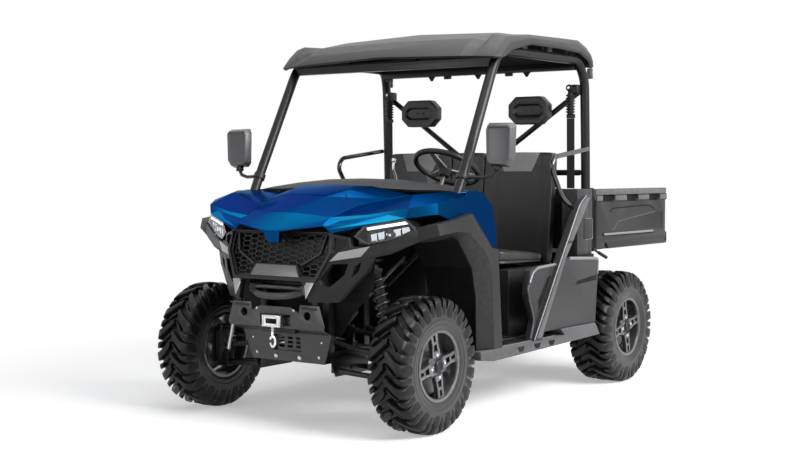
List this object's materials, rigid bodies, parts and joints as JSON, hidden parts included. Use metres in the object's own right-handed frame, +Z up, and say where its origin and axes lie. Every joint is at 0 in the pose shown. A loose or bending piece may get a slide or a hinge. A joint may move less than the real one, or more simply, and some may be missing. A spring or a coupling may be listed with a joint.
{
  "type": "side by side utility vehicle",
  "caption": "Side by side utility vehicle with a roll cage, moulded roof, bench seat, winch and tipping cargo bed.",
  "frame": {"origin": "on the ground under the middle of the vehicle", "axes": "+X forward, +Y to the driver's side (vehicle left), +Z up"},
  "size_m": [2.8705, 1.8, 1.932],
  "materials": {
    "frame_black": "satin black powder coat",
    "bar_gloss_black": "gloss black paint",
    "body_blue": "metallic blue clear coat over moulded panels",
    "plastic_dark": "grained charcoal moulding",
    "plastic_black": "black moulding",
    "seat_cover": "black vinyl cover",
    "belt_webbing": "woven black webbing",
    "lamp_clear": "clear lens over a bright reflector",
    "lamp_housing": "black housing round bright reflectors",
    "accent_silver": "silver-grey paint",
    "lamp_red": "red lens",
    "wheel_grip": "soft black grip",
    "lever_metal": "satin rod",
    "steel_bright": "zinc plated",
    "steel_exhaust": "heat-dulled steel",
    "cast_alloy": "cast alloy",
    "knuckle_cast": "rough casting, black",
    "damper_steel": "black coil with bright rod",
    "tyre_rubber": "black rubber",
    "rim_gunmetal": "dark gunmetal paint"
  },
  "bodies": {
    "root": {"chassis_frame": "frame_black", "front_frame": "frame_black", "rear_frame": "frame_black", "skid_plate": "plastic_black", "bumper": "frame_black", "winch": "steel_bright", "grille": "plastic_black", "front_fascia": "plastic_dark", "front_accents": "accent_silver", "headlights": "lamp_housing", "lamp_lenses": "lamp_clear", "hood": "body_blue", "fenders": "body_blue", "flares": "plastic_dark", "wheel_liners": "plastic_black", "dashboard": "plastic_black", "floor_pan": "plastic_black", "rockers": "plastic_dark", "side_panels": "plastic_dark", "seat_box": "plastic_black", "seat_cushions": "seat_cover", "seat_backs": "seat_cover", "headrests": "seat_cover", "cage_hoops": "frame_black", "cage_crossbars": "frame_black", "roof": "plastic_dark", "mirrors": "plastic_dark", "hip_bars": "bar_gloss_black", "seat_belts": "belt_webbing", "steering_gear": "steel_bright", "gear_lever": "lever_metal", "engine_block": "cast_alloy", "driveline": "steel_bright", "exhaust": "steel_exhaust", "front_arms": "frame_black", "rear_arms": "frame_black", "shocks": "damper_steel", "tail_lamps": "lamp_red"},
    "wheel_front_left": {"tyre_front_left": "tyre_rubber", "rim_front_left": "rim_gunmetal"},
    "wheel_front_right": {"tyre_front_right": "tyre_rubber", "rim_front_right": "rim_gunmetal"},
    "wheel_rear_left": {"tyre_rear_left": "tyre_rubber", "rim_rear_left": "rim_gunmetal"},
    "wheel_rear_right": {"tyre_rear_right": "tyre_rubber", "rim_rear_right": "rim_gunmetal"},
    "upright_left": {"knuckle_left": "knuckle_cast"},
    "upright_right": {"knuckle_right": "knuckle_cast"},
    "rack": {"steering_rack": "steel_bright"},
    "hand_wheel": {"steering_wheel": "wheel_grip"},
    "bed": {"bed_box": "plastic_dark"},
    "gate": {"tailgate": "plastic_dark"}
  },
  "joints": [
    {"name": "steer_left", "type": "hinge", "parent": "root", "child": "upright_left", "pos_m": [1.12, 0.592, 0.315], "axis": [0, 0, 1], "range_deg": [-26, 26]},
    {"name": "steer_right", "type": "hinge", "parent": "root", "child": "upright_right", "pos_m": [1.12, -0.592, 0.315], "axis": [0, 0, 1], "range_deg": [-26, 26]},
    {"name": "rack_slide", "type": "slide", "parent": "root", "child": "rack", "axis": [0, 1, 0], "range_m": [-0.0368, 0.0368]},
    {"name": "hand_wheel_turn", "type": "hinge", "parent": "root", "child": "hand_wheel", "pos_m": [0.445, 0.335, 1.215], "axis": [-0.5, 0, 0.866], "range_deg": [-307, 307]},
    {"name": "spin_front_left", "type": "hinge", "parent": "upright_left", "child": "wheel_front_left", "pos_m": [1.12, 0.65, 0.315], "axis": [0, 1, 0], "continuous": true},
    {"name": "spin_front_right", "type": "hinge", "parent": "upright_right", "child": "wheel_front_right", "pos_m": [1.12, -0.65, 0.315], "axis": [0, 1, 0], "continuous": true},
    {"name": "spin_rear_left", "type": "hinge", "parent": "root", "child": "wheel_rear_left", "pos_m": [-0.81, 0.638, 0.315], "axis": [0, 1, 0], "continuous": true},
    {"name": "spin_rear_right", "type": "hinge", "parent": "root", "child": "wheel_rear_right", "pos_m": [-0.81, -0.638, 0.315], "axis": [0, 1, 0], "continuous": true},
    {"name": "bed_tilt", "type": "hinge", "parent": "root", "child": "bed", "pos_m": [-1.15, 0, 0.738], "axis": [0, -1, 0], "range_deg": [0, 40]},
    {"name": "gate_drop", "type": "hinge", "parent": "bed", "child": "gate", "pos_m": [-1.42, 0, 0.788], "axis": [0, -1, 0], "range_deg": [0, 90]}
  ],
  "couplings": [
    {"joint": "steer_right", "follows": "steer_left", "ratio": 1},
    {"joint": "rack_slide", "follows": "steer_left", "m_per_rad": -0.0811},
    {"joint": "hand_wheel_turn", "follows": "steer_left", "ratio": 11.8}
  ]
}
